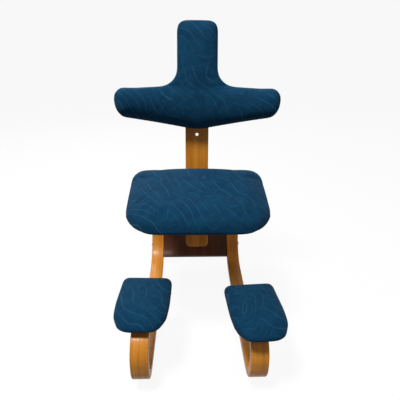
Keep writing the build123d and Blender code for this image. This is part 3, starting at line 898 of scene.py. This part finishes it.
def seat_form(point):
    """Where a point of the seat's cover goes."""
    x, y, height = seat_inverse @ point
    from_front = y / seat_depth + 0.5
    from_side = max(1 - (2 * x / seat_width) ** 2, 0)
    crown = from_side * (front_crown + (1 - front_crown) * smooth_share(from_front, *crown_zone))
    nose = 1 - smooth_share(from_front, *nose_zone)
    height *= 1 + crown_gain * crown
    height += max(height - seat_waist, 0) * nose_gain * nose
    bow = smooth_share(from_front, *rear_zone) * rear_bow
    bow -= (1 - smooth_share(from_front, *front_zone)) * front_bow
    spread = 1 + side_bow * (1 - (2 * from_front - 1) ** 2)
    corner = smooth_share(abs(x), *corner_x) * smooth_share(y, *corner_y) * corner_push
    return seat_place @ Vector((x * spread + math.copysign(corner, x), y + from_side * bow + corner, height))


def on_board(foot, up):
    """A test for the points that lie on the board under a cushion."""
    return lambda point: (point - foot).dot(up) < held_height


cushion("seat_pad", ["seat_cushion"], "frame", voxel=0.006, held=on_board(seat_foot, seat_up), cap=0.006,
        form=seat_form, rolls=7, regrow=0.003)

# %% [markdown]
# Each knee rest is narrower towards its front, flares again at the tip and rolls down there. The two are set
# differently, as a sitter leaves them: one lies further forward, and each cover is turned a little outward
# on its board. One function makes both, from the same formula.

# %% Knee rests
saddle_thickness = 0.008
knee_length, knee_lead = 0.25, 0.025
knee_shifts = {"left": 0.022, "right": -0.021}
knee_turns = {"left": 2, "right": 4}
knee_spread, knee_rear_spread, knee_rear_zone = 1.05, 0.015, (0.5, 0.9)
knee_taper, knee_taper_zone = 0.12, (0.0, 0.55)
knee_flare, knee_flare_zone = 0.13, (0.0, 0.16)
knee_lift, knee_fall, knee_fall_zone = 1.03, 0.22, (0.0, 0.42)
knee_foot = hook_top + hook_up * saddle_thickness


def knee_rest(side, sign):
    """The upholstery of one knee rest, on its board."""
    middle = knee_foot + hook_way * (knee_shifts[side] - knee_lead) + Vector((sign * runner_x, 0, 0))
    place = set_on(middle, hook_way, hook_up)
    inverse = place.inverted()
    turned_place = place @ Matrix.Rotation(math.radians(sign * knee_turns[side]), 4, "Z")

    def form(point):
        x, y, height = inverse @ point
        from_front = y / knee_length + 0.5
        taper = knee_taper * (1 - smooth_share(from_front, *knee_taper_zone))
        flare = knee_flare * (1 - smooth_share(from_front, *knee_flare_zone))
        rear_spread = knee_rear_spread * smooth_share(from_front, *knee_rear_zone)
        x *= knee_spread - taper + flare + rear_spread
        height *= knee_lift - knee_fall * (1 - smooth_share(from_front, *knee_fall_zone)) ** 2
        return turned_place @ Vector((x, y, height))

    return cushion(f"{side}_knee_rest", [f"{side}_knee_cushion"], f"{side}_knee_pad", voxel=0.005,
                   held=on_board(knee_foot, hook_up), cap=0.006, form=form, rolls=5)


for side, sign in sides:
    knee_rest(side, sign)

# %% [markdown]
# The backrest is a T that wraps round the sitter, so its foam is laid out on a cylinder: a front surface,
# and a depth behind it. How far a point lies from the edge of the T, seen from the front, says how far the
# foam has rolled away there. Here are the sizes of that layout and the two questions that are asked of a
# point.

# %% Layout of the backrest
back_gap, back_thickness, foam_depth = 0.003, 0.057, 0.03
wrap_radius = 0.418
wrap_distance = back_gap + back_thickness + wrap_radius
wrap_axis = back_place @ Vector((0, 0, wrap_distance))
# Two corners at the end of the right arm, then the foot and the top of the neck
tee_right = [(0.27, 0.074), (0.27, 0.158), (0.069, 0.172), (0.066, 0.372)]
tee_left = [(-x, y) for x, y in reversed(tee_right)]
tee_tip = (0, 0.02)
tee_corners = [Vector(corner) for corner in (tee_tip, *tee_right, *tee_left)]


def edge_distance(place):
    """Distance from a place on the T to the nearest of its straight sides."""
    nearest = 1.0
    for start, end in zip(tee_corners, tee_corners[1:] + tee_corners[:1]):
        side = end - start
        share = min(max((place - start).dot(side) / side.dot(side), 0.0), 1.0)
        nearest = min(nearest, (place - start - side * share).length)
    return nearest


def behind_foam(point):
    """True for what lies on the shell of the backrest, counted from the axis that its arms wrap round."""
    offset = point - wrap_axis
    return (offset - post_up * offset.dot(post_up)).length > wrap_radius + foam_depth


print("the T has", len(tee_corners), "corners and wraps round", wrap_radius, "m")

# %% [markdown]
# The arms of the T are thick rolls, and its lower edge tucks under. The ends of the arms are slanted: they
# are drawn in below and fuller above. The neck is flatter, leans a little further back than the arms and
# spreads at its top. One cover goes over all three solids of the backrest.

# %% Backrest
neck_zone = (0.13, 0.215)
arm_roll, neck_roll = 0.048, 0.018
arm_fall, neck_fall = 0.034, 0.012
neck_lean, neck_lean_zone = 0.014, (0.16, 0.37)
arm_middle, arm_tip_zone = 0.11, (0.2, 0.262)
lower_slant, lower_zone = 0.035, (0.06, 0.15)
upper_flare, lower_flare = 0.12, 0.02
neck_rise, neck_tip_zone = 0.008, (0.3, 0.365)
top_spread, top_zone = 0.07, (0.34, 0.375)
back_inverse = back_place.inverted()


def between(share, first, second):
    """The first number at zero, the second at one."""
    return first + (second - first) * share


def back_form(point):
    """Where a point of the backrest's cover goes."""
    x, y, z = back_inverse @ point
    outward = Vector((x, z - wrap_distance))
    depth = outward.length - wrap_radius
    neck = smooth_share(y, *neck_zone)
    rolled = max(1 - edge_distance(Vector((x, y))) / between(neck, arm_roll, neck_roll), 0.0)
    fall = between(neck, arm_fall, neck_fall) * (1 - math.sqrt(max(1 - rolled * rolled, 0.0)))
    fall += neck_lean * smooth_share(y, *neck_lean_zone)
    outward *= (wrap_radius + depth + fall * (1 - depth / back_thickness)) / outward.length
    arm_tip = smooth_share(abs(x), *arm_tip_zone) * (1 - neck)
    neck_tip = smooth_share(y, *neck_tip_zone)
    lower = 1 - smooth_share(y, *lower_zone)
    outward.x *= 1 - lower_slant * lower * arm_tip
    y += (y - arm_middle) * between(lower, upper_flare, lower_flare) * arm_tip + neck_rise * neck_tip
    spread = 1 + top_spread * smooth_share(y, *top_zone) * neck_tip
    return back_place @ Vector((outward.x * spread, y, outward.y + wrap_distance))


cushion("backrest_pad", ["backrest_cushion", "backrest_shell", "backrest_cover"], "backrest", voxel=0.005,
        held=behind_foam, cap=0.007, form=back_form, rolls=20, close=0.007, regrow=0.0045)

# %% [markdown]
# Last, the view layer is brought up to date, and the scene is handed over.

# %% Hand-over
bpy.context.view_layer.update()
